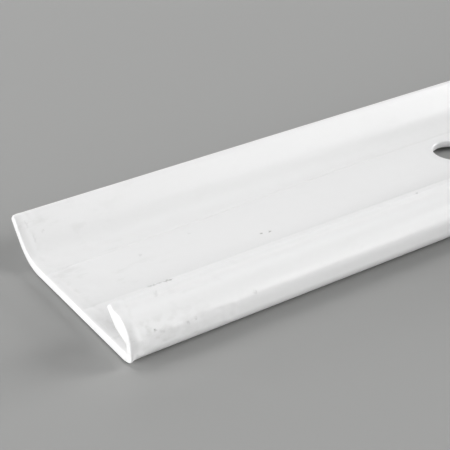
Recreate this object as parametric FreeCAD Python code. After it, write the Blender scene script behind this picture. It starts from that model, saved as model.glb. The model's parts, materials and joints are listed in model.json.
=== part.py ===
"""Door sweep: a painted aluminium carrier strip with a slide-in vinyl blade.

Frame: +X runs along the strip, +Y runs across it from the rolled hem to the raised lip, and +Z points
away from the face that the strip lies on. The origin is on that face, on the line of screw holes, at
mid-length. All sizes are in millimetres.
"""

import FreeCAD
import Part

import math
import os

from FreeCAD import Vector

# Driving dimensions of the carrier strip
LENGTH = 914.4
WIDTH = 25.4
THICKNESS = 1.1
HEM_TO_HOLE_LINE = 15.2

# Raised lip along the far edge
LIP_ANGLE = 52.5
LIP_BEND_RADIUS = 5.35
LIP_BEND_START = 4.35
LIP_TIP_ROUND = 0.4
LIP_TIP_SLANT = 0.35
LIP_TIP_TRIM = 0.095

# Rolled hem along the near edge: heights above the lying face, and distances in from the hem's edge
HEM_WALL = 1.05
HEM_BOTTOM_RADIUS = 1.5
HEM_BOTTOM_TRIM = 0.054
HEM_SHOULDER_INSET = 0.12
HEM_SHOULDER_HEIGHT = 4.83
HEM_SHOULDER_RADIUS = 2.4
POCKET_FLOOR_RADIUS = 0.35
POCKET_ROOF_HEIGHT = 2.25
POCKET_ROOF_RADIUS = 0.42

# The hem's flap, which curls up towards its tip
FLAP_OUTER_KNEE_INSET = 3.15
FLAP_OUTER_KNEE_HEIGHT = 4.88
FLAP_OUTER_KNEE_RADIUS = 0.7
FLAP_OUTER_TIP_INSET = 3.8
FLAP_OUTER_TIP_HEIGHT = 5.42
FLAP_INNER_TIP_INSET = 4.62
FLAP_INNER_TIP_HEIGHT = 4.62
FLAP_INNER_KNEE_INSET = 3.05
FLAP_INNER_KNEE_HEIGHT = 3.0
FLAP_INNER_KNEE_RADIUS = 1.6
FLAP_TIP_ROUND = 0.3

# Screw holes in the web
HOLE_COUNT = 5
HOLE_RADIUS = 2.6
END_TO_FIRST_HOLE = 55.6
HOLE_RIM_ROUND = 0.2

# Rigid root of the blade: a toe in the hem's pocket, and a neck that wraps over the flap's tip
TOE_INSET = 3.0
TOE_HEIGHT = 2.1
TOE_ROUND = 1.0
TOE_CLEARANCE = 0.08
NECK_THICKNESS = 0.8
NECK_INSET = 4.57
NECK_OVER_TIP = 0.16
NECK_HEEL_ROUND = 0.4
NECK_INNER_ROUND = 0.35
NECK_OUTER_ROUND = 1.15
NECK_EDGE_ROUND = 0.05
ROOT_OVERHANG = 0.32

# Flexible fin of the blade
FIN_GAP = 0.05
FIN_REACH = 20.0
FIN_DROOP = 2.6
FIN_TIP_RADIUS = 0.55

# How far the blade is drawn out of the strip's far end
BLADE_DRAWN = 60.0

HEM_EDGE = -HEM_TO_HOLE_LINE
LIP_EDGE = WIDTH - HEM_TO_HOLE_LINE
HALF_LENGTH = LENGTH / 2
HOLE_PITCH = (LENGTH - 2 * END_TO_FIRST_HOLE) / (HOLE_COUNT - 1)
NECK_BOTTOM = FLAP_OUTER_TIP_HEIGHT + NECK_OVER_TIP
NECK_TOP = NECK_BOTTOM + NECK_THICKNESS
ROOT_END = HEM_EDGE - ROOT_OVERHANG
FIN_ROOT_RADIUS = NECK_THICKNESS / 2
FLEX_AXIS_Y = ROOT_END - FIN_GAP - FIN_ROOT_RADIUS
FLEX_AXIS_Z = NECK_BOTTOM + FIN_ROOT_RADIUS


def at(x, y, z):
    """A point, or a direction, in the part's frame."""
    return Vector(x, y, z)


def rounded_outline(corners, x):
    """A closed wire in the plane at x, from corners (y, z, radius) joined by lines and tangent arcs."""
    starts = []
    ends = []
    middles = []
    for i, (y, z, radius) in enumerate(corners):
        corner = at(x, y, z)
        back = at(x, *corners[i - 1][:2]) - corner
        ahead = at(x, *corners[(i + 1) % len(corners)][:2]) - corner
        back.normalize()
        ahead.normalize()
        half_angle = back.getAngle(ahead) / 2
        bisector = back + ahead
        bisector.normalize()
        run = radius / math.tan(half_angle)
        starts.append(corner + back * run)
        ends.append(corner + ahead * run)
        middles.append(corner + bisector * (radius / math.sin(half_angle) - radius))
    edges = []
    for i in range(len(corners)):
        edges.append(Part.Arc(starts[i], middles[i], ends[i]).toShape())
        edges.append(Part.makeLine(ends[i], starts[(i + 1) % len(corners)]))
    return Part.Wire(edges)


def extruded(wire, length):
    """The solid swept from a closed wire along +X."""
    return Part.Face(wire).extrude(at(length, 0, 0))


def carrier_corners():
    """Corners of the carrier's section, from the hem's outer corner round the lip and back."""
    lip = math.radians(LIP_ANGLE)
    bend_corner = LIP_BEND_START + LIP_BEND_RADIUS * math.tan(lip / 2)
    inner_bend_corner = bend_corner - THICKNESS * math.tan(lip / 2)
    tip_y = LIP_EDGE + LIP_TIP_TRIM
    rise = (tip_y - bend_corner) * math.tan(lip)
    inner_y = tip_y - THICKNESS * math.sin(lip) + LIP_TIP_SLANT * math.cos(lip)
    inner_z = rise + THICKNESS * math.cos(lip) + LIP_TIP_SLANT * math.sin(lip)
    wall_y = HEM_EDGE + HEM_WALL
    return [
        (HEM_EDGE - HEM_BOTTOM_TRIM, 0, HEM_BOTTOM_RADIUS),
        (bend_corner, 0, LIP_BEND_RADIUS),
        (tip_y, rise, LIP_TIP_ROUND),
        (inner_y, inner_z, LIP_TIP_ROUND),
        (inner_bend_corner, THICKNESS, LIP_BEND_RADIUS - THICKNESS),
        (wall_y, THICKNESS, POCKET_FLOOR_RADIUS),
        (wall_y, POCKET_ROOF_HEIGHT, POCKET_ROOF_RADIUS),
        (HEM_EDGE + FLAP_INNER_KNEE_INSET, FLAP_INNER_KNEE_HEIGHT, FLAP_INNER_KNEE_RADIUS),
        (HEM_EDGE + FLAP_INNER_TIP_INSET, FLAP_INNER_TIP_HEIGHT, FLAP_TIP_ROUND),
        (HEM_EDGE + FLAP_OUTER_TIP_INSET, FLAP_OUTER_TIP_HEIGHT, FLAP_TIP_ROUND),
        (HEM_EDGE + FLAP_OUTER_KNEE_INSET, FLAP_OUTER_KNEE_HEIGHT, FLAP_OUTER_KNEE_RADIUS),
        (HEM_EDGE + HEM_SHOULDER_INSET, HEM_SHOULDER_HEIGHT, HEM_SHOULDER_RADIUS),
    ]


def hole_cutter(x):
    """A screw hole's cutter at x, flared at both faces so that the rim is rounded."""
    reach = HOLE_RADIUS + HOLE_RIM_ROUND
    margin = 1.0
    cutter = Part.makeCylinder(HOLE_RADIUS, THICKNESS + 2 * margin, at(x, 0, -margin))
    for face, inward in ((0, 1), (THICKNESS, -1)):
        rim = at(x + reach, 0, face)
        wall = at(x + HOLE_RADIUS, 0, face + inward * HOLE_RIM_ROUND)
        bulge = HOLE_RIM_ROUND * (1 - math.sqrt(0.5))
        middle = at(x + HOLE_RADIUS + bulge, 0, face + inward * bulge)
        corner = at(x + HOLE_RADIUS, 0, face)
        outline = [
            Part.Arc(rim, middle, wall).toShape(),
            Part.makeLine(wall, corner),
            Part.makeLine(corner, rim),
        ]
        flare = Part.Face(Part.Wire(outline)).revolve(at(x, 0, 0), at(0, 0, 1), 360)
        cutter = cutter.fuse(flare)
    return cutter


def carrier_strip():
    """The painted strip: flat web with screw holes, raised lip and rolled hem."""
    strip = extruded(rounded_outline(carrier_corners(), -HALF_LENGTH), LENGTH)
    for i in range(HOLE_COUNT):
        strip = strip.cut(hole_cutter(-HALF_LENGTH + END_TO_FIRST_HOLE + i * HOLE_PITCH))
    return strip


def blade_start():
    """Where the blade's near end lies."""
    return -HALF_LENGTH + BLADE_DRAWN


def blade_root():
    """Rigid root of the blade: a round toe in the pocket, on a neck that turns over the flap's tip."""
    inner = HEM_EDGE + NECK_INSET
    outer = inner + NECK_THICKNESS
    toe = HEM_EDGE + TOE_INSET
    sole = THICKNESS + TOE_CLEARANCE
    toe_top = sole + TOE_HEIGHT
    corners = [
        (toe, sole, TOE_ROUND),
        (outer, sole, NECK_HEEL_ROUND),
        (outer, NECK_TOP, NECK_OUTER_ROUND),
        (ROOT_END, NECK_TOP, NECK_EDGE_ROUND),
        (ROOT_END, NECK_BOTTOM, NECK_EDGE_ROUND),
        (inner, NECK_BOTTOM, NECK_INNER_ROUND),
        (inner, toe_top, NECK_INNER_ROUND),
        (toe, toe_top, TOE_ROUND),
    ]
    return extruded(rounded_outline(corners, blade_start()), LENGTH)


def blade_fin():
    """Flexible fin: a tapering, drooping strip with a round inner edge on the flex axis and a round tip."""
    x = blade_start()
    tip_y = FLEX_AXIS_Y - FIN_REACH
    tip_z = FLEX_AXIS_Z - FIN_DROOP
    mid_y = FLEX_AXIS_Y - FIN_REACH / 2
    mid_z = FLEX_AXIS_Z - FIN_DROOP / 4
    mid_half = (FIN_ROOT_RADIUS + FIN_TIP_RADIUS) / 2 * 0.8
    upper = Part.Arc(
        at(x, FLEX_AXIS_Y, FLEX_AXIS_Z + FIN_ROOT_RADIUS),
        at(x, mid_y, mid_z + mid_half),
        at(x, tip_y, tip_z + FIN_TIP_RADIUS),
    )
    lower = Part.Arc(
        at(x, tip_y, tip_z - FIN_TIP_RADIUS),
        at(x, mid_y, mid_z - mid_half),
        at(x, FLEX_AXIS_Y, FLEX_AXIS_Z - FIN_ROOT_RADIUS),
    )
    tip = Part.Arc(upper.EndPoint, at(x, tip_y - FIN_TIP_RADIUS, tip_z), lower.StartPoint)
    root = Part.Arc(lower.EndPoint, at(x, FLEX_AXIS_Y + FIN_ROOT_RADIUS, FLEX_AXIS_Z), upper.StartPoint)
    outline = Part.Wire([part.toShape() for part in (upper, tip, lower, root)])
    return extruded(outline, LENGTH)


def main():
    os.makedirs("parts", exist_ok=True)
    carrier_strip().exportStep("parts/carrier_strip.step")
    blade_root().exportStep("parts/blade_root.step")
    blade_fin().exportStep("parts/blade_fin.step")


main()
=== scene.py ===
"""Looks of the door sweep: a white enamelled strip lying on a table, with its vinyl blade drawn part way out.

Every piece is a section in the YZ plane swept along X. Sizes are in millimetres, in the frame of the CAD
model, and the meshes are made in metres.
"""

import json
import math

import bmesh
import bpy
import numpy as np
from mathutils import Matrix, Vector, noise


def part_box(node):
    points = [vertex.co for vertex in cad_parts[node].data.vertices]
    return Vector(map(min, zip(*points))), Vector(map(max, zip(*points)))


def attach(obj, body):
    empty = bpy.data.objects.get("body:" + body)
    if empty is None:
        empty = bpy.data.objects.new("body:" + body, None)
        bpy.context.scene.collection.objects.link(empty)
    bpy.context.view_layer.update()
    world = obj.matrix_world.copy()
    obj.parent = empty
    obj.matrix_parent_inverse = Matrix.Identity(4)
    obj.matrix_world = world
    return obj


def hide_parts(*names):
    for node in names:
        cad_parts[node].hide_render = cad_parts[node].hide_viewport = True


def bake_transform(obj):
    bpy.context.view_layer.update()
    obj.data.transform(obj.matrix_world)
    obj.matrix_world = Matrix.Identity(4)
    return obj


MM = 0.001

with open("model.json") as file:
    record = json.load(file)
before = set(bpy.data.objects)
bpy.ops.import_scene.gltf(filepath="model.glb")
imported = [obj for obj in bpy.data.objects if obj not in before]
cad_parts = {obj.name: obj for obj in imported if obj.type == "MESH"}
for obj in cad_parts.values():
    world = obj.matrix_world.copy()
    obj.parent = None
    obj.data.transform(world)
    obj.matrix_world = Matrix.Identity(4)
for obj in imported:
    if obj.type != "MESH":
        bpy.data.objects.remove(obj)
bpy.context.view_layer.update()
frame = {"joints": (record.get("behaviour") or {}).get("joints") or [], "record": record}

strip_low, strip_high = (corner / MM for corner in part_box("carrier_strip"))
root_low, root_high = (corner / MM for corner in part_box("blade_root"))
fin_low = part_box("blade_fin")[0] / MM
mounts = {mount["name"]: mount for mount in frame["record"]["mounts"]}
flex = next(joint for joint in frame["joints"] if joint["name"] == "fin_flex")

# Differences below this count as none, for lines that should be level
NEARLY_NOTHING = 1e-6

# Section of the carrier strip
THICKNESS = 1.1
NEAR_END = strip_low.x
FAR_END = strip_high.x
HEM_EDGE = round(strip_low.y, 1)
LIP_EDGE = strip_high.y
LIP_ANGLE = math.radians(52.5)
LIP_BEND_RADIUS = 5.35
LIP_BEND_START = 4.35
LIP_TIP_TRIM = 0.095
LIP_TIP_SLANT = 0.35
LIP_TIP_ROUND = 0.4

# The rolled hem's corners: distance in from the hem's edge, height and rounding. The first is its foot. The
# others go up inside it, round the flap's tip, and back over the top to its shoulder.
HEM_BOTTOM = (-0.04, 0, 1.6)
HEM_INSIDE = (
    (1.05, THICKNESS, 0.35),
    (1.05, 2.25, 0.42),
    (3.05, 3.0, 1.6),
    (4.62, 4.62, 0.3),
    (3.8, 5.42, 0.3),
    (3.15, 4.88, 0.7),
    (0.1, 4.85, 2.7),
)

# The fewest steps on a rounded corner of any section
FEWEST_STEPS = 5

# Points on the strip's section: how far apart they are on its arcs and on its straight runs, what share of a
# run is left free of marks at each end, and how many spacings the usual points keep off those marks
STRIP_ARC_STEP = 0.16
STRIP_SPACING = 0.5
MARK_MARGIN = 0.002
MARK_CLEARANCE = 0.6

# Screw holes: each has a rounded rim with a low bead of enamel round it, in a square patch meshed in rings
HOLE_RADIUS = mounts["middle_screw_hole"]["dims"]["r_mm"]
HOLE_RIM = 0.3
HOLE_BEAD = 0.03
HOLE_BEAD_WIDTH = 0.7
HOLE_PATCH = 3.65
PATCH_STEPS = 18
BEAD_RINGS = 6
RIM_RINGS = 8

# Faint lines rolled into the web: where each starts and where it settles, in y, and how deep it is. They
# settle this far from the near end, and their depth varies slowly.
CREASES = ((-5.2, -5.2, 0.06), (2.7, 4.0, 0.11))
CREASE_SETTLES = 42.0
CREASE_HALF_WIDTH = 0.28
CREASE_ROWS = 0.1
CREASE_DEPTH_SHARE = 0.7
CREASE_DEPTH_CHANGE = 0.6
CREASE_CHANGE_SIZE = 14

# Stations along the strip: steps at a cut end, then the fine, close and usual steps with how far the first
# two reach from the near end, and the gap left before the far end's own steps and round each hole's patch
EDGE_POINTS = 6
END_STEPS = (0.35, 0.7, 1.2)
FINE_REACH = 16
FINE_STEP = 0.25
CLOSE_REACH = 60
CLOSE_STEP = 0.8
USUAL_STEP = 2.5
FAR_MARGIN = 2
PATCH_MARGIN = 0.3

# The enamel: how far under its nominal size it lies, how it thins out at a cut end's edge, the bead that it
# makes just inside that edge, and how much of it fills out the hem's round foot there
ENAMEL_ALLOWANCE = 0.045
STRIP_EDGE_ROUND = 0.15
END_DROOP = 0.09
END_DROOP_RUN = 0.9
END_BEAD = 0.035
END_BEAD_FROM = 0.85
END_BEAD_TO = 1.45
FOOT_FILL = 0.34
FOOT_FILL_RUN = 0.6
FOOT_REACH = 1.7

# Its unevenness: long and fine waves, and the rough edge that the saw left, each with its depth and its size
WAVE_DEPTH = 0.012
WAVE_SIZE = 9
WAVE_SLOWED = 0.4
FINE_WAVE_DEPTH = 0.004
FINE_WAVE_SIZE = 2.2
SAW_DEPTH = 0.009
SAW_SIZE = 1.9
FINE_SAW_DEPTH = 0.004
FINE_SAW_SIZE = 0.5
SAW_REACH = 1.2

# How steeply a point has to face up to lie on top, and how fast the unevenness fades towards the underside,
# which stays flat
FACES_UP = 0.9
UNDERSIDE_FADE = 2.5

# Patches of dribbles and pits near the cut end: centre y and z, spread along x, y and z, how many, and their
# usual size. They crowd towards the cut end, vary in size, length and height, and are pits as often as lumps.
LUMP_SEED = 11
LUMPS_FROM = 0.8
LUMP_CROWDING = 1.5
LUMP_SIZES = (0.65, 1.35)
LUMP_STRETCHES = (1.0, 1.9)
LUMP_HEIGHTS = (0.5, 1.0)
LUMP_OR_PIT = (1.0, -1.3)
LUMP_PATCHES = (
    (-15.1, 2.2, 13.0, 0.1, 1.7, 26, 0.5),
    (-13.2, 4.85, 12.0, 1.4, 0.0, 10, 0.55),
    (9.0, 4.0, 6.0, 0.8, 1.0, 9, 0.6),
    (0.0, 1.1, 11.0, 5.5, 0.0, 24, 1.1),
)

# Dark specks and scuffs: distance from the near end, y, z, length along x, breadth and darkness. Their
# outlines wander by up to half of BLEMISH_RAGGED, and they fade between these two shares of their size.
BLEMISHES = (
    (23.7, -3.1, 1.1, 0.5, 0.3, 0.6),
    (24.8, -3.3, 1.1, 0.5, 0.3, 0.6),
    (10.3, 0.5, 1.1, 0.5, 0.5, 0.15),
    (17.1, 1.4, 1.1, 0.4, 0.4, 0.12),
    (25.2, -13.2, 4.85, 0.5, 0.3, 0.5),
    (4.8, -11.9, 4.9, 0.6, 0.6, 0.15),
    (8.6, -5.3, 1.05, 2.6, 0.35, 0.35),
    (10.2, -5.4, 1.05, 1.4, 0.35, 0.7),
    (2.9, -15.05, 3.3, 0.5, 0.5, 0.7),
    (2.2, -15.0, 3.6, 0.8, 1.0, 0.15),
    (3.6, -15.1, 2.9, 0.8, 0.4, 0.2),
    (6.5, -15.1, 2.7, 0.5, 0.5, 0.25),
    (7.4, -15.1, 2.9, 0.5, 0.4, 0.25),
    (14.5, -15.0, 3.2, 0.4, 0.6, 0.2),
    (1.1, 8.7, 4.0, 0.25, 1.0, 0.12),
    (1.4, 7.6, 2.6, 0.25, 1.0, 0.12),
    (2.6, 7.9, 3.0, 0.4, 0.4, 0.12),
)
BLEMISH_RAGGED = 0.7
BLEMISH_FADE = (0.4, 1.3)

# Soiling and painted shade are nothing at 0 and thickest at 1. Smudges and grit thin out away from a cut end,
# from their first value at THINS_FROM to their second at their reach. Grit lies on the hem's side, and fades
# out between these two distances in from the hem's edge.
# Painted shade: a dark line just inside each cut end's bead, broken up into streaks. Where it lies in from
# the end, its half width and its darkness.
END_SHADE_PLACES = (1.0, 1.7)
END_SHADE_HALF_WIDTH = 0.4
END_SHADE_DARKNESS = 0.75
THINS_FROM = 1.0
SMUDGE_GRIME = (0.8, 0.12)
SMUDGE_REACH = 17.0
GRIT_GRIME = (1.0, 0.0)
GRIT_REACH = 13.0
GRIT_EDGE = (0.5, 1.5)
# Painted shade in each rolled line on the web's top: its darkness, the half width of its darkest core, and
# how high above the web it reaches.
CREASE_SHADE = 0.45
CREASE_CORE = 0.05
CREASE_SHADE_HEIGHT = 0.2

# Colours, as red, green and blue, each with its darkest and lightest tone where it varies
ENAMEL_TONES = ((0.885, 0.885, 0.885), (0.915, 0.915, 0.915))
# The colour of the smudges and grit, and of the painted shade in the rolled lines and just inside each cut
# end's bead
SOILING_AND_SHADE_COLOUR = (0.83, 0.83, 0.825)
SPECK_COLOUR = (0.25, 0.25, 0.24)
ROOT_TONES = ((0.17, 0.17, 0.168), (0.2, 0.2, 0.197))
FIN_TONES = ((0.075, 0.075, 0.073), (0.095, 0.095, 0.092))
TABLE_TONES = ((0.352, 0.353, 0.348), (0.372, 0.373, 0.368))
BACKDROP_GREY = 0.72

# The enamel's finish: its range of roughness, the height of its orange peel and its draw lines in
# millimetres, which share of the cells has no speck in it, and how dark and how big the specks are: a speck
# fades between these two shares of a cell
ENAMEL_ROUGHNESS = (0.285, 0.335)
ENAMEL_REFRACTION = 1.5
PEEL_HEIGHT = 0.02
DRAW_LINE_HEIGHT = 0.007
SPECKLESS_SHARE = 0.72
SPECK_DARKNESS = 0.45
SPECK_FADE = (0.012, 0.03)

# The vinyl's finish
ROOT_ROUGHNESS = 0.34
FIN_ROUGHNESS = 0.42
FIN_TRANSLUCENCY = 0.1
VINYL_ROUGHNESS_CHANGE = 0.06
VINYL_REFRACTION = 1.46
VINYL_LINE_HEIGHT = 0.02
VINYL_SKIN_HEIGHT = 0.012
VINYL_LIGHT_REACH = 0.6

# The table's finish
TABLE_ROUGHNESS = 0.6

# Section of the blade
FLEX_Y = flex["pos_m"][1] / MM
FLEX_Z = flex["pos_m"][2] / MM
NECK_THICKNESS = 0.8
TOE_INSET = 3.0
TOE_HEIGHT = 2.1
TOE_ROUND = 1.0
HEEL_ROUND = 0.4
NECK_OUTER_ROUND = 1.15
NECK_INNER_ROUND = 0.35
ROOT_EDGE_ROUND = 0.08
ROOT_ARC_STEP = 0.1
ROOT_SPACING = 0.4
FIN_TIP_RADIUS = 0.55
FIN_WAIST = 0.8
FIN_GAP = 0.004
FIN_CORNER = 0.05
FIN_SIDE_STEPS = 44
FIN_TIP_STEPS = 12

# The blade along its length: rounding of its cut edges, and the usual steps between its stations
BLADE_EDGE_ROUND = 0.06
BLADE_MARGIN = 2
ROOT_STEP = 6
FIN_STEP = 3

# How the fin's free edge wanders, each time by how much and over what length
FIN_WANDER = 0.35
FIN_WANDER_SIZE = 55
FIN_RIPPLE = 0.12
FIN_RIPPLE_SIZE = 17

# The table lies this far below the strip, as if the strip stood on small burrs. Its half width is in metres.
TABLE_GAP = 0.22
TABLE_HALF = 2.5

# Soft lights: how far off they stand, in metres, how wide they are for that distance, and how far along the
# strip the place is that they are aimed at
SOFTBOX_DISTANCE = 4.0
WIDE_BOX = 0.6
NARROW_BOX = 0.35
AIMED_AT = 20

# Each light: name, degrees anticlockwise from +X, degrees up, width and power
LIGHTS = (
    ("left", 180, 12, WIDE_BOX, 9.2),
    ("back_left", 150, 12, WIDE_BOX, 3.7),
    ("back", 90, 12, WIDE_BOX, 1.0),
    ("back_high", 120, 55, WIDE_BOX, 3.6),
    ("back_right", 60, 14, WIDE_BOX, 1.2),
    ("top_right", 34, 54, NARROW_BOX, 0.5),
    ("right_low", 350, 4, NARROW_BOX, 9.4),
    ("right", 335, 16, NARROW_BOX, 0.65),
    ("right_high", 335, 28, NARROW_BOX, 4.1),
    ("front_high", 305, 28, NARROW_BOX, 0.7),
    ("front", 305, 16, NARROW_BOX, 0.95),
    ("front_low", 305, 4, NARROW_BOX, 2.2),
)

# The camera: its place in millimetres, the way it looks, and its lens
CAMERA_PLACE = (NEAR_END - 45.52, -97.93, 70.9)
CAMERA_DIRECTION = (0.48484, 0.71365, -0.50560)
CAMERA_LENS = 98.65
CAMERA_SENSOR = 36.0
CAMERA_NEAREST = 0.01
CAMERA_FURTHEST = 50.0


def hole_centres():
    """The X of every screw hole: the middle one, and a pair for each pattern on the line."""
    centres = [0.0]
    for name in ("inner_screw_holes", "outer_screw_holes"):
        half = mounts[name]["dims"]["spacing_x_mm"] / 2
        centres += [-half, half]
    return sorted(centres)


# ---------------------------------------------------------------- outlines


def arc(centre, radius, start, end, steps):
    """Points on an arc from angle start to angle end, both included."""
    angles = np.linspace(start, end, steps + 1)
    directions = np.stack([np.cos(angles), np.sin(angles)], axis=1)
    return np.array(centre) + radius * directions


def rounded_corners(corners, arc_step):
    """One arc per corner (y, z, radius) of a closed outline."""
    arcs = []
    for i, (y, z, radius) in enumerate(corners):
        corner = np.array([y, z])
        back = np.array(corners[i - 1][:2]) - corner
        ahead = np.array(corners[(i + 1) % len(corners)][:2]) - corner
        back /= np.linalg.norm(back)
        ahead /= np.linalg.norm(ahead)
        half = math.acos(back @ ahead) / 2
        bisector = (back + ahead) / np.linalg.norm(back + ahead)
        centre = corner + bisector * radius / math.sin(half)
        first = corner + back * radius / math.tan(half) - centre
        side = ahead[0] * back[1] - ahead[1] * back[0]
        turn = math.copysign(math.pi - 2 * half, side)
        start = math.atan2(first[1], first[0])
        steps = max(FEWEST_STEPS, math.ceil(abs(turn) * radius / arc_step))
        arcs.append(arc(centre, radius, start, start + turn, steps))
    return arcs


def joined(arcs, spacing, web_marks=()):
    """One closed outline through the arcs. Long level lines pass through every y in web_marks."""
    outline = []
    for i, part in enumerate(arcs):
        outline += list(part)
        start = part[-1]
        run = arcs[(i + 1) % len(arcs)][0] - start
        length = np.linalg.norm(run)
        steps = max(1, math.ceil(length / spacing))
        shares = list(np.linspace(0, 1, steps + 1)[1:-1])
        if web_marks and abs(run[1]) < NEARLY_NOTHING and length > 2 * HOLE_PATCH:
            marks = [(y - start[0]) / run[0] for y in web_marks]
            marks = [mark for mark in marks if MARK_MARGIN < mark < 1 - MARK_MARGIN]
            clear = MARK_CLEARANCE * spacing / length
            shares = marks + [s for s in shares if not min(marks) - clear < s < max(marks) + clear]
        outline += [start + run * share for share in sorted(shares)]
    return np.array(outline)


def web_rows():
    """The values of y that the web's points lie on: even across a hole's patch, and close at each crease."""
    marks = list(np.linspace(-HOLE_PATCH, HOLE_PATCH, PATCH_STEPS + 1))
    for start, settled, _ in CREASES:
        rows = np.arange(start - CREASE_HALF_WIDTH, settled + CREASE_HALF_WIDTH, CREASE_ROWS)
        marks += [row for row in rows if min(abs(row - mark) for mark in marks) > CREASE_ROWS / 3]
    return sorted(marks)


def strip_outline():
    """The carrier's section, from the hem's outer corner round the lip and back."""
    bend_corner = LIP_BEND_START + LIP_BEND_RADIUS * math.tan(LIP_ANGLE / 2)
    inner_bend_corner = bend_corner - THICKNESS * math.tan(LIP_ANGLE / 2)
    tip_y = LIP_EDGE + LIP_TIP_TRIM
    rise = (tip_y - bend_corner) * math.tan(LIP_ANGLE)
    inner_y = tip_y - THICKNESS * math.sin(LIP_ANGLE) + LIP_TIP_SLANT * math.cos(LIP_ANGLE)
    inner_z = rise + THICKNESS * math.cos(LIP_ANGLE) + LIP_TIP_SLANT * math.sin(LIP_ANGLE)
    corners = [
        (HEM_EDGE + HEM_BOTTOM[0], *HEM_BOTTOM[1:]),
        (bend_corner, 0, LIP_BEND_RADIUS),
        (tip_y, rise, LIP_TIP_ROUND),
        (inner_y, inner_z, LIP_TIP_ROUND),
        (inner_bend_corner, THICKNESS, LIP_BEND_RADIUS - THICKNESS),
    ]
    corners += [(HEM_EDGE + inset, height, radius) for inset, height, radius in HEM_INSIDE]
    return joined(rounded_corners(corners, STRIP_ARC_STEP), STRIP_SPACING, web_rows())


def root_outline():
    """The blade's root: a round toe in the pocket, on a neck that turns over the flap's tip."""
    neck_bottom = root_high.z - NECK_THICKNESS
    neck_inner = root_high.y - NECK_THICKNESS
    toe = HEM_EDGE + TOE_INSET
    toe_top = root_low.z + TOE_HEIGHT
    corners = [
        (toe, root_low.z, TOE_ROUND),
        (root_high.y, root_low.z, HEEL_ROUND),
        (root_high.y, root_high.z, NECK_OUTER_ROUND),
        (root_low.y, root_high.z, ROOT_EDGE_ROUND),
        (root_low.y, neck_bottom, ROOT_EDGE_ROUND),
        (neck_inner, neck_bottom, NECK_INNER_ROUND),
        (neck_inner, toe_top, NECK_INNER_ROUND),
        (toe, toe_top, TOE_ROUND),
    ]
    return joined(rounded_corners(corners, ROOT_ARC_STEP), ROOT_SPACING)


def three_point_arc(start, middle, end, steps):
    """Points on the arc through three points, both ends included."""
    a, b, c = (complex(*point) for point in (start, middle, end))
    ratio = (c - a) / (b - a)
    centre = a - (a - b) * (ratio - abs(ratio) ** 2) / (2j * ratio.imag)
    radius = abs(a - centre)
    first = math.atan2((a - centre).imag, (a - centre).real)
    last = math.atan2((c - centre).imag, (c - centre).real)
    turn = (last - first + math.pi) % (2 * math.pi) - math.pi
    return arc((centre.real, centre.imag), radius, first, first + turn, steps)


def fin_outline():
    """The fin: it starts against the root's edge, tapers and droops, and ends in a round tip."""
    half = NECK_THICKNESS / 2
    tip_y = fin_low.y + FIN_TIP_RADIUS
    tip_z = fin_low.z + FIN_TIP_RADIUS
    mid_y = FLEX_Y - (FLEX_Y - tip_y) / 2
    mid_z = FLEX_Z - (FLEX_Z - tip_z) / 4
    mid_half = (half + FIN_TIP_RADIUS) / 2 * FIN_WAIST
    upper = three_point_arc(
        (FLEX_Y, FLEX_Z + half),
        (mid_y, mid_z + mid_half),
        (tip_y, tip_z + FIN_TIP_RADIUS),
        FIN_SIDE_STEPS,
    )
    tip = arc((tip_y, tip_z), FIN_TIP_RADIUS, math.pi / 2, 3 * math.pi / 2, FIN_TIP_STEPS)
    lower = three_point_arc(
        (tip_y, tip_z - FIN_TIP_RADIUS),
        (mid_y, mid_z - mid_half),
        (FLEX_Y, FLEX_Z - half),
        FIN_SIDE_STEPS,
    )
    edge_y = root_low.y - FIN_GAP
    edge = [
        (edge_y - FIN_CORNER, FLEX_Z - half),
        (edge_y, FLEX_Z - half + FIN_CORNER),
        (edge_y, FLEX_Z + half - FIN_CORNER),
        (edge_y - FIN_CORNER, FLEX_Z + half),
    ]
    return np.vstack([upper, tip[1:-1], lower, edge])


# ---------------------------------------------------------------- swept meshes


def outward(outline):
    """The outward unit normal at each point of an outline that runs anticlockwise."""
    tangent = np.roll(outline, -1, axis=0) - np.roll(outline, 1, axis=0)
    tangent /= np.linalg.norm(tangent, axis=1)[:, None]
    return np.stack([tangent[:, 1], -tangent[:, 0]], axis=1)


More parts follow.
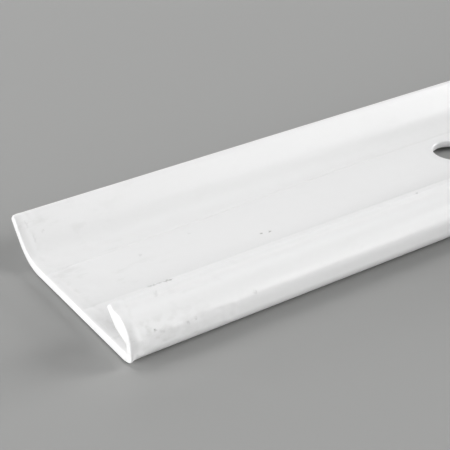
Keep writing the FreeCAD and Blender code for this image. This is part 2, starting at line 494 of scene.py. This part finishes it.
class Sweep:
    """A closed outline swept along X, with rounded end edges. Round holes can be cut through its web."""

    def __init__(self, outline, stations, edge_round):
        self.outline = outline
        self.stations = np.array(stations)
        self.normals = outward(outline)
        self.count = len(outline)
        near = self.stations[0]
        far = self.stations[-1]
        depth = np.minimum(self.stations - near, far - self.stations)
        short = np.clip(edge_round - depth, 0, None)
        inset = edge_round - np.sqrt(edge_round**2 - short**2)
        places = []
        for x, amount in zip(self.stations, inset):
            ring = outline - self.normals * amount
            places.append(np.column_stack([np.full(self.count, x), ring]))
        self.points = [tuple(p) for ring in places for p in ring]
        side = np.column_stack([np.zeros(self.count), self.normals])
        self.directions = [tuple(n) for _ in self.stations for n in side]
        self.open_cells = set()
        self.faces = []

    def index(self, station, place):
        """The number of the point at a station and a place on the outline."""
        return station * self.count + place % self.count

    def level_run(self, height):
        """The outline's places on the web at this height, across a hole's patch, in order of y."""
        on = np.abs(self.outline[:, 1] - height) < NEARLY_NOTHING
        on &= np.abs(self.outline[:, 0]) < HOLE_PATCH + NEARLY_NOTHING
        places = np.flatnonzero(on)
        return places[np.argsort(self.outline[places, 0])]

    def patch_loop(self, first, last, places):
        """The vertices round a patch's border, anticlockwise seen from above."""
        loop = [self.index(i, places[0]) for i in range(first, last)]
        loop += [self.index(last, place) for place in places[:-1]]
        loop += [self.index(i, places[-1]) for i in range(last, first, -1)]
        loop += [self.index(first, place) for place in places[:0:-1]]
        return loop

    def add_ring(self, ring, directions):
        """Adds the points of a ring, and gives their numbers."""
        start = len(self.points)
        self.points += [tuple(p) for p in ring]
        self.directions += [tuple(n) for n in directions]
        return list(range(start, start + len(ring)))

    def bridge(self, inner, outer):
        """Joins two rings that have the same number of points by a band of faces."""
        for k in range(len(inner)):
            following = (k + 1) % len(inner)
            self.faces.append((inner[k], inner[following], outer[following], outer[k]))

    def hole(self, x):
        """Cuts a round hole at x, its rims rounded by built-up enamel."""
        near = int(np.argmin(np.abs(self.stations - (x - HOLE_PATCH))))
        far = int(np.argmin(np.abs(self.stations - (x + HOLE_PATCH))))
        loops = []
        for height, up in ((0.0, -1), (THICKNESS, 1)):
            places = self.level_run(height)
            low, high = sorted((places[0], places[-1]))
            self.open_cells |= {(i, j) for i in range(near, far) for j in range(low, high)}
            border = self.patch_loop(near, far, list(places))
            corner = np.array([self.points[v] for v in border])
            angle = np.arctan2(corner[:, 1], corner[:, 0] - x)
            around = np.stack([np.cos(angle), np.sin(angle)], axis=1)
            rings = [border]
            level = np.full((len(border), 1), height)
            vertical = np.tile([0.0, 0.0, up], (len(border), 1))
            for share in np.linspace(1, 0, BEAD_RINGS + 1)[:-1]:
                flat = np.array([x, 0]) + around * (HOLE_RADIUS + HOLE_RIM + HOLE_BEAD_WIDTH * share)
                raised = level + max(up, 0) * HOLE_BEAD * math.sin(math.pi * share) ** 2
                rings.append(self.add_ring(np.hstack([flat, raised]), vertical))
            for turn in np.linspace(0, math.pi / 2, RIM_RINGS):
                radius = HOLE_RADIUS + HOLE_RIM * (1 - math.sin(turn))
                drop = up * HOLE_RIM * (1 - math.cos(turn))
                flat = np.array([x, 0]) + around * radius
                rings.append(self.add_ring(np.hstack([flat, level - drop]), vertical * math.cos(turn)))
            loops.append(rings)
        below, above = loops
        chain = below + above[::-1]
        for inner, outer in zip(chain, chain[1:]):
            self.bridge(inner, outer)

    def build(self, name, shape_points=None):
        """Makes the object, once shape_points has had its say on where each point lies."""
        for i in range(len(self.stations) - 1):
            for j in range(self.count):
                if (i, j) in self.open_cells:
                    continue
                self.faces.append((
                    self.index(i, j),
                    self.index(i, j + 1),
                    self.index(i + 1, j + 1),
                    self.index(i + 1, j),
                ))
        last = len(self.stations) - 1
        self.faces.append(tuple(self.index(0, j) for j in range(self.count)))
        self.faces.append(tuple(self.index(last, j) for j in range(self.count)))
        points = np.array(self.points)
        if shape_points:
            points = shape_points(points, np.array(self.directions))
        mesh = bpy.data.meshes.new(name)
        mesh.from_pydata((points * MM).tolist(), [], self.faces)
        work = bmesh.new()
        work.from_mesh(mesh)
        loose = [v for v in work.verts if not v.link_faces]
        bmesh.ops.delete(work, geom=loose, context="VERTS")
        bmesh.ops.recalc_face_normals(work, faces=work.faces)
        work.to_mesh(mesh)
        work.free()
        mesh.shade_smooth()
        piece = bpy.data.objects.new(name, mesh)
        bpy.context.scene.collection.objects.link(piece)
        return piece


def end_stations(near, far, edge_round):
    """Stations close together at both ends, where the cut edges are rounded."""
    turns = np.linspace(0, math.pi / 2, EDGE_POINTS)
    steps = list(edge_round * (1 - np.cos(turns))) + list(END_STEPS)
    return [near + s for s in steps] + [far - s for s in steps]


def strip_stations():
    """Every X that the strip's mesh has points at: finest near the cut end, and closer at the holes."""
    stations = end_stations(NEAR_END, FAR_END, STRIP_EDGE_ROUND)
    start = NEAR_END + END_STEPS[0]
    runs = (
        (NEAR_END + FINE_REACH, FINE_STEP),
        (NEAR_END + CLOSE_REACH, CLOSE_STEP),
        (FAR_END - FAR_MARGIN, USUAL_STEP),
    )
    for until, step in runs:
        stations += list(np.arange(start + step, until, step))
        start = until
    for x in hole_centres():
        stations = [s for s in stations if abs(s - x) > HOLE_PATCH + PATCH_MARGIN]
        stations += list(np.linspace(x - HOLE_PATCH, x + HOLE_PATCH, PATCH_STEPS + 1))
    return sorted(stations)


def ripple(x, y, z, size, seed):
    """Smooth noise from -1 to 1 that changes over about size millimetres."""
    return noise.noise(Vector((x / size + seed, y / size - seed, z / size)))


def enamel_lumps(points):
    """How far dribbles and pits near the cut end raise (or, below zero, sink) the enamel at each point."""
    chance = np.random.default_rng(LUMP_SEED)
    raised = np.zeros(len(points))
    for centre_y, centre_z, spread_x, spread_y, spread_z, count, usual in LUMP_PATCHES:
        for _ in range(count):
            centre = np.array([NEAR_END + LUMPS_FROM, centre_y, centre_z])
            centre += np.array([spread_x * chance.random() ** LUMP_CROWDING, 0, 0])
            centre += np.array([0, spread_y, spread_z]) * chance.uniform(-1, 1)
            size = usual * chance.uniform(*LUMP_SIZES)
            stretch = np.array([chance.uniform(*LUMP_STRETCHES), 1.0, 1.0])
            away = np.linalg.norm((points - centre) / (size * stretch), axis=1)
            height = chance.choice(LUMP_OR_PIT) * chance.uniform(*LUMP_HEIGHTS) * ENAMEL_ALLOWANCE
            raised += height * np.clip(1 - away**2, 0, 1) ** 2
    return raised


def crease_depth_at(x, y):
    """How deep the rolled lines are at a place on the web's top."""
    depth = 0.0
    for start, settled, usual_depth in CREASES:
        middle = start + (settled - start) * min(1, (x - NEAR_END) / CREASE_SETTLES)
        share = abs(y - middle) / CREASE_HALF_WIDTH
        if share < 1:
            change = CREASE_DEPTH_CHANGE * ripple(x, start, 0, CREASE_CHANGE_SIZE, 1.3)
            depth += usual_depth * (CREASE_DEPTH_SHARE + change) * (1 - share * share) ** 2
    return depth


def shape_strip(points, directions):
    """Gives the strip its uneven enamel, and its cut ends their bead, filled foot and saw marks."""
    shaped = points.copy()
    lumps = enamel_lumps(points)
    for k, (x, y, z) in enumerate(points):
        outward_y, outward_z = directions[k][1], directions[k][2]
        from_end = min(x - NEAR_END, FAR_END - x)
        depth = ENAMEL_ALLOWANCE + WAVE_DEPTH * ripple(x * WAVE_SLOWED, y, z, WAVE_SIZE, 3.1)
        depth += FINE_WAVE_DEPTH * ripple(x, y, z, FINE_WAVE_SIZE, 7.7)
        depth = max(depth - lumps[k], 0)
        depth -= END_BEAD * np.clip((END_BEAD_TO - from_end) / (END_BEAD_TO - END_BEAD_FROM), 0, 1)
        if from_end < END_DROOP_RUN:
            depth += END_DROOP * (1 - from_end / END_DROOP_RUN) ** 2
        if from_end < FOOT_FILL_RUN and y < HEM_EDGE + FOOT_REACH and z < FOOT_REACH:
            depth += 2 * FOOT_FILL * outward_y * abs(outward_z) * (1 - from_end / FOOT_FILL_RUN)
        if outward_z > FACES_UP and z < 2 * THICKNESS:
            depth += crease_depth_at(x, y)
        depth *= np.clip(UNDERSIDE_FADE * (outward_z + 1), 0, 1)
        shaped[k][1] -= outward_y * depth
        shaped[k][2] -= outward_z * depth
        if from_end < SAW_REACH:
            saw = SAW_DEPTH * (1 + ripple(0, y, z, SAW_SIZE, 5.0))
            saw += FINE_SAW_DEPTH * (1 + ripple(0, y, z, FINE_SAW_SIZE, 2.0))
            inward = 1 if x < 0 else -1
            shaped[k][0] += inward * saw * (1 - from_end / SAW_REACH)
    shaped[:, 2] = np.maximum(shaped[:, 2], 0.0)
    return shaped


def carrier_strip():
    sweep = Sweep(strip_outline(), strip_stations(), STRIP_EDGE_ROUND)
    for x in hole_centres():
        sweep.hole(x)
    piece = sweep.build("carrier_strip_enamelled", shape_strip)
    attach(piece, "carrier")
    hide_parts("carrier_strip")
    return piece


def blade_sweep(outline, step):
    """The blade's root and fin are both as long as the root's box."""
    stations = end_stations(root_low.x, root_high.x, BLADE_EDGE_ROUND)
    stations += list(np.arange(root_low.x + BLADE_MARGIN, root_high.x - BLADE_MARGIN, step))
    return Sweep(outline, sorted(stations), BLADE_EDGE_ROUND)


def blade_root():
    piece = blade_sweep(root_outline(), ROOT_STEP).build("blade_root_vinyl")
    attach(piece, "blade")
    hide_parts("blade_root")
    return piece


def shape_fin(points, directions):
    """Lets the soft fin's free edge wander up and down a little, as drawn vinyl does."""
    shaped = points.copy()
    for k, (x, y, z) in enumerate(points):
        reach = np.clip((FLEX_Y - y) / (FLEX_Y - fin_low.y), 0, 1)
        wander = FIN_WANDER * ripple(x, 0, 0, FIN_WANDER_SIZE, 4.0)
        wander += FIN_RIPPLE * ripple(x, 0, 0, FIN_RIPPLE_SIZE, 9.0)
        shaped[k][2] += reach**2 * wander
    return shaped


def blade_fin():
    piece = blade_sweep(fin_outline(), FIN_STEP).build("blade_fin_vinyl", shape_fin)
    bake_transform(piece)
    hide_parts("blade_fin")
    return piece


# ---------------------------------------------------------------- materials


class Nodes:
    """A material's node tree, with short calls to add nodes and wire them."""

    def __init__(self, name):
        self.material = bpy.data.materials.new(name)
        self.material.use_nodes = True
        self.tree = self.material.node_tree
        self.surface = self.tree.nodes["Principled BSDF"]
        self.place = self.add("ShaderNodeTexCoord").outputs["Object"]

    def add(self, kind, inputs=None, **settings):
        """Adds a node. Each of its inputs is either wired to another node's output or given a plain value."""
        node = self.tree.nodes.new(kind)
        for key, value in settings.items():
            setattr(node, key, value)
        for key, value in (inputs or {}).items():
            if isinstance(value, bpy.types.NodeSocket):
                self.tree.links.new(value, node.inputs[key])
            else:
                node.inputs[key].default_value = value
        return node

    def set(self, **inputs):
        """Wires or sets the surface's own inputs, with _ for a space in their names."""
        for key, value in inputs.items():
            socket = self.surface.inputs[key.replace("_", " ")]
            if isinstance(value, bpy.types.NodeSocket):
                self.tree.links.new(value, socket)
            else:
                socket.default_value = value

    def scaled(self, x, y, z):
        """The place on the object, with so many units to the millimetre along each axis."""
        scale = (x / MM, y / MM, z / MM)
        return self.add("ShaderNodeMapping", {"Vector": self.place, "Scale": scale}).outputs["Vector"]

    def noise(self, x, y, z, detail=2.0, roughness=0.5):
        """Noise with so many waves to the millimetre along each axis."""
        inputs = {"Vector": self.scaled(x, y, z), "Scale": 1.0, "Detail": detail, "Roughness": roughness}
        return self.add("ShaderNodeTexNoise", inputs).outputs["Fac"]

    def math(self, operation, a, b=0.0, c=0.0):
        return self.add("ShaderNodeMath", {0: a, 1: b, 2: c}, operation=operation).outputs[0]

    def vector(self, operation, a, b=(0.0, 0.0, 0.0)):
        node = self.add("ShaderNodeVectorMath", {0: a, 1: b}, operation=operation)
        return node.outputs["Value" if operation == "LENGTH" else "Vector"]

    def ramp(self, value, low, high, to_low=0.0, to_high=1.0):
        """Goes smoothly from to_low to to_high as the value goes from low to high."""
        inputs = {"Value": value, "From Min": low, "From Max": high, "To Min": to_low, "To Max": to_high}
        return self.add("ShaderNodeMapRange", inputs, interpolation_type="SMOOTHSTEP").outputs["Result"]

    def mix(self, share, a, b):
        """A colour between a and b."""
        node = self.add("ShaderNodeMix", {"Factor": share}, data_type="RGBA")
        for socket, value in ((node.inputs[6], a), (node.inputs[7], b)):
            if isinstance(value, bpy.types.NodeSocket):
                self.tree.links.new(value, socket)
            else:
                socket.default_value = (*value, 1.0)
        return node.outputs[2]

    def bump(self, height, millimetres, under=None):
        """A relief this many millimetres high, on top of another one if there is one."""
        inputs = {"Height": height, "Distance": millimetres * MM, "Strength": 1.0}
        if under is not None:
            inputs["Normal"] = under
        return self.add("ShaderNodeBump", inputs).outputs["Normal"]


def blemishes(n):
    """How dark each place is for being in a speck or scuff, from 0 to 1."""
    wander = n.add("ShaderNodeTexNoise", {"Vector": n.scaled(2.5, 2.5, 2.5), "Scale": 1.0, "Detail": 2.0})
    wander = n.vector("SUBTRACT", wander.outputs["Color"], (0.5, 0.5, 0.5))
    wander = n.vector("MULTIPLY", wander, (BLEMISH_RAGGED,) * 3)
    ragged = n.vector("ADD", n.scaled(1, 1, 1), wander)
    darkest = 0.0
    for x, y, z, length, breadth, darkness in BLEMISHES:
        away = n.vector("SUBTRACT", ragged, (NEAR_END + x, y, z))
        away = n.vector("MULTIPLY", away, (2 / length, 2 / breadth, 2 / breadth))
        shade = n.ramp(n.vector("LENGTH", away), *BLEMISH_FADE, darkness, 0.0)
        darkest = n.math("MAXIMUM", darkest, shade)
    return darkest


def soiling_and_shade(n):
    """How soiled each place is, or how dark with painted shade, from 0 to 1.

    There are streaks of painted shade just inside the bead along a cut end, smudges, grit on the hem's side,
    and painted shade in each rolled line that starts from nothing at the near end.
    """
    place = n.add("ShaderNodeSeparateXYZ", {"Vector": n.scaled(1, 1, 1)}).outputs
    from_end = n.math("SUBTRACT", FAR_END, n.math("ABSOLUTE", place["X"]))
    # Painted shade: a dark line just inside the bead along a cut end, coming and going in streaks
    from_end_shade = n.ramp(n.noise(0.0, 0.5, 0.5, 1.0), 0.2, 0.8, *END_SHADE_PLACES)
    from_end_shade = n.math("ABSOLUTE", n.math("SUBTRACT", from_end, from_end_shade))
    end_shade = n.ramp(from_end_shade, 0.0, END_SHADE_HALF_WIDTH, 1.0, 0.0)
    end_shade = n.math("MULTIPLY", end_shade, n.ramp(n.noise(0.6, 1.1, 1.1, 3.0), 0.35, 0.65, 0.0, END_SHADE_DARKNESS))
    smudge = n.ramp(n.noise(0.32, 0.75, 0.75, 4.0, 0.6), 0.54, 0.7)
    smudge = n.math("MULTIPLY", smudge, n.ramp(from_end, THINS_FROM, SMUDGE_REACH, *SMUDGE_GRIME))
    grit = n.ramp(n.noise(1.2, 1.5, 1.5, 3.0), 0.5, 0.68)
    grit = n.math("MULTIPLY", grit, n.ramp(from_end, THINS_FROM, GRIT_REACH, *GRIT_GRIME))
    low, high = (HEM_EDGE + inset for inset in GRIT_EDGE)
    grit = n.math("MULTIPLY", grit, n.ramp(place["Y"], low, high, 1.0, 0.0))
    # The smudges and grit are soiling; the streaks by the cut end and the traces in the rolled lines are
    # painted shade
    soil_and_shade = n.math("MAXIMUM", n.math("MAXIMUM", end_shade, smudge), grit)
    # Painted shade in each rolled line, on the web's top only, growing from nothing at the near end
    along = n.math("MINIMUM", n.math("DIVIDE", n.math("SUBTRACT", place["X"], NEAR_END), CREASE_SETTLES), 1.0)
    for start, settled, _ in CREASES:
        middle = n.math("MULTIPLY_ADD", along, settled - start, start)
        away = n.math("ABSOLUTE", n.math("SUBTRACT", place["Y"], middle))
        crease = n.ramp(away, CREASE_CORE, CREASE_HALF_WIDTH, CREASE_SHADE, 0.0)
        low, high = THICKNESS, THICKNESS + CREASE_SHADE_HEIGHT
        crease = n.math("MULTIPLY", crease, n.ramp(place["Z"], low, high, 1.0, 0.0))
        crease = n.math("MULTIPLY", crease, along)
        soil_and_shade = n.math("MAXIMUM", soil_and_shade, crease)
    return soil_and_shade


def enamel():
    """Satin white baked enamel: orange peel, faint lengthwise draw lines, smudges and grit, specks and
    scuffs, and painted shade in the rolled lines and just inside each cut end's bead.
    """
    n = Nodes("white_enamel")
    tone = n.noise(0.03, 0.12, 0.12, 3.0)
    colour = n.mix(tone, *ENAMEL_TONES)
    cells = n.add("ShaderNodeTexVoronoi", {"Vector": n.scaled(0.11, 0.16, 0.16), "Scale": 1.0}, feature="F1")
    lot = n.add("ShaderNodeSeparateColor", {"Color": cells.outputs["Color"]}).outputs[0]
    chosen = n.ramp(lot, SPECKLESS_SHARE, SPECKLESS_SHARE + 0.02)
    speck = n.math("MULTIPLY", n.ramp(cells.outputs["Distance"], *SPECK_FADE, 1.0, 0.0), chosen)
    speck = n.math("MAXIMUM", n.math("MULTIPLY", speck, SPECK_DARKNESS), blemishes(n))
    # Smudges and grit, and painted shade in the rolled lines and just inside each cut end's bead
    colour = n.mix(soiling_and_shade(n), colour, SOILING_AND_SHADE_COLOUR)
    colour = n.mix(speck, colour, SPECK_COLOUR)
    gloss = n.ramp(n.noise(0.15, 0.5, 0.5, 3.0), 0.3, 0.7, *ENAMEL_ROUGHNESS)
    peel = n.noise(0.55, 0.75, 0.75, 2.0)
    draw = n.noise(0.012, 2.6, 2.6, 3.0)
    normal = n.bump(peel, PEEL_HEIGHT)
    normal = n.bump(draw, DRAW_LINE_HEIGHT, normal)
    n.set(Base_Color=colour, Roughness=gloss, Normal=normal, IOR=ENAMEL_REFRACTION)
    return n.material


def vinyl(name, tones, roughness, translucency):
    """Extruded vinyl: fine lines along its length, a soft sheen and slightly uneven colour."""
    n = Nodes(name)
    tone = n.noise(0.02, 0.25, 0.25, 3.0)
    lines = n.noise(0.006, 5.0, 5.0, 2.0)
    colour = n.mix(tone, *tones)
    skin = n.noise(1.5, 1.5, 1.5, 3.0)
    normal = n.bump(lines, VINYL_LINE_HEIGHT)
    normal = n.bump(skin, VINYL_SKIN_HEIGHT, normal)
    least = roughness - VINYL_ROUGHNESS_CHANGE
    most = roughness + VINYL_ROUGHNESS_CHANGE
    shine = n.ramp(n.noise(0.05, 0.6, 0.6), 0.3, 0.7, least, most)
    n.set(Base_Color=colour, Roughness=shine, Normal=normal, IOR=VINYL_REFRACTION)
    n.set(Subsurface_Weight=translucency, Subsurface_Scale=MM)
    n.surface.inputs["Subsurface Radius"].default_value = (VINYL_LIGHT_REACH,) * 3
    return n.material


def table():
    """A plain grey table top with the faintest unevenness."""
    n = Nodes("table_grey")
    colour = n.mix(n.noise(0.004, 0.004, 0.004, 4.0), *TABLE_TONES)
    n.set(Base_Color=colour, Roughness=TABLE_ROUGHNESS)
    return n.material


# ---------------------------------------------------------------- stage, light and camera


def floor():
    """The flat table top that the strip lies on."""
    mesh = bpy.data.meshes.new("table_top")
    half = TABLE_HALF
    height = -TABLE_GAP * MM
    corners = [(-half, -half, height), (half, -half, height), (half, half, height), (-half, half, height)]
    mesh.from_pydata(corners, [], [(0, 1, 2, 3)])
    piece = bpy.data.objects.new("table_top", mesh)
    bpy.context.scene.collection.objects.link(piece)
    mesh.materials.append(table())


def softbox(name, turn, rise, breadth, power):
    """A soft light aimed at the strip's near end: turn degrees anticlockwise from +X, and rise degrees up."""
    data = bpy.data.lights.new(name, "AREA")
    data.shape = "RECTANGLE"
    data.size = data.size_y = breadth * SOFTBOX_DISTANCE
    data.energy = power * SOFTBOX_DISTANCE**2
    turn, rise = math.radians(turn), math.radians(rise)
    away = Vector((math.cos(rise) * math.cos(turn), math.cos(rise) * math.sin(turn), math.sin(rise)))
    lamp = bpy.data.objects.new(name, data)
    lamp.location = Vector(((NEAR_END + AIMED_AT) * MM, 0, 0)) + away * SOFTBOX_DISTANCE
    lamp.rotation_euler = (-away).to_track_quat("-Z", "Y").to_euler()
    lamp.visible_camera = False
    bpy.context.scene.collection.objects.link(lamp)


def lighting():
    """Soft lights all round, as in a light tent, and a pale backdrop that only the camera sees."""
    for light in LIGHTS:
        softbox(*light)
    world = bpy.data.worlds.new("pale_room")
    world.use_nodes = True
    backdrop = world.node_tree.nodes["Background"].inputs
    backdrop["Color"].default_value = (BACKDROP_GREY, BACKDROP_GREY, BACKDROP_GREY, 1)
    rays = world.node_tree.nodes.new("ShaderNodeLightPath")
    world.node_tree.links.new(rays.outputs["Is Camera Ray"], backdrop["Strength"])
    bpy.context.scene.world = world


def camera():
    """Looks down along the strip from beyond its cut end, as a person leaning over it would."""
    data = bpy.data.cameras.new("camera")
    data.sensor_width = CAMERA_SENSOR
    data.lens = CAMERA_LENS
    data.clip_start = CAMERA_NEAREST
    data.clip_end = CAMERA_FURTHEST
    eye = bpy.data.objects.new("camera", data)
    eye.location = Vector(CAMERA_PLACE) * MM
    eye.rotation_euler = Vector(CAMERA_DIRECTION).to_track_quat("-Z", "Y").to_euler()
    bpy.context.scene.collection.objects.link(eye)
    bpy.context.scene.camera = eye


strip = carrier_strip()
strip.data.materials.append(enamel())
root = blade_root()
root.data.materials.append(vinyl("rigid_vinyl", ROOT_TONES, ROOT_ROUGHNESS, 0.0))
fin = blade_fin()
fin.data.materials.append(vinyl("soft_vinyl", FIN_TONES, FIN_ROUGHNESS, FIN_TRANSLUCENCY))
floor()
lighting()
camera()
bpy.context.scene.view_settings.view_transform = "Standard"
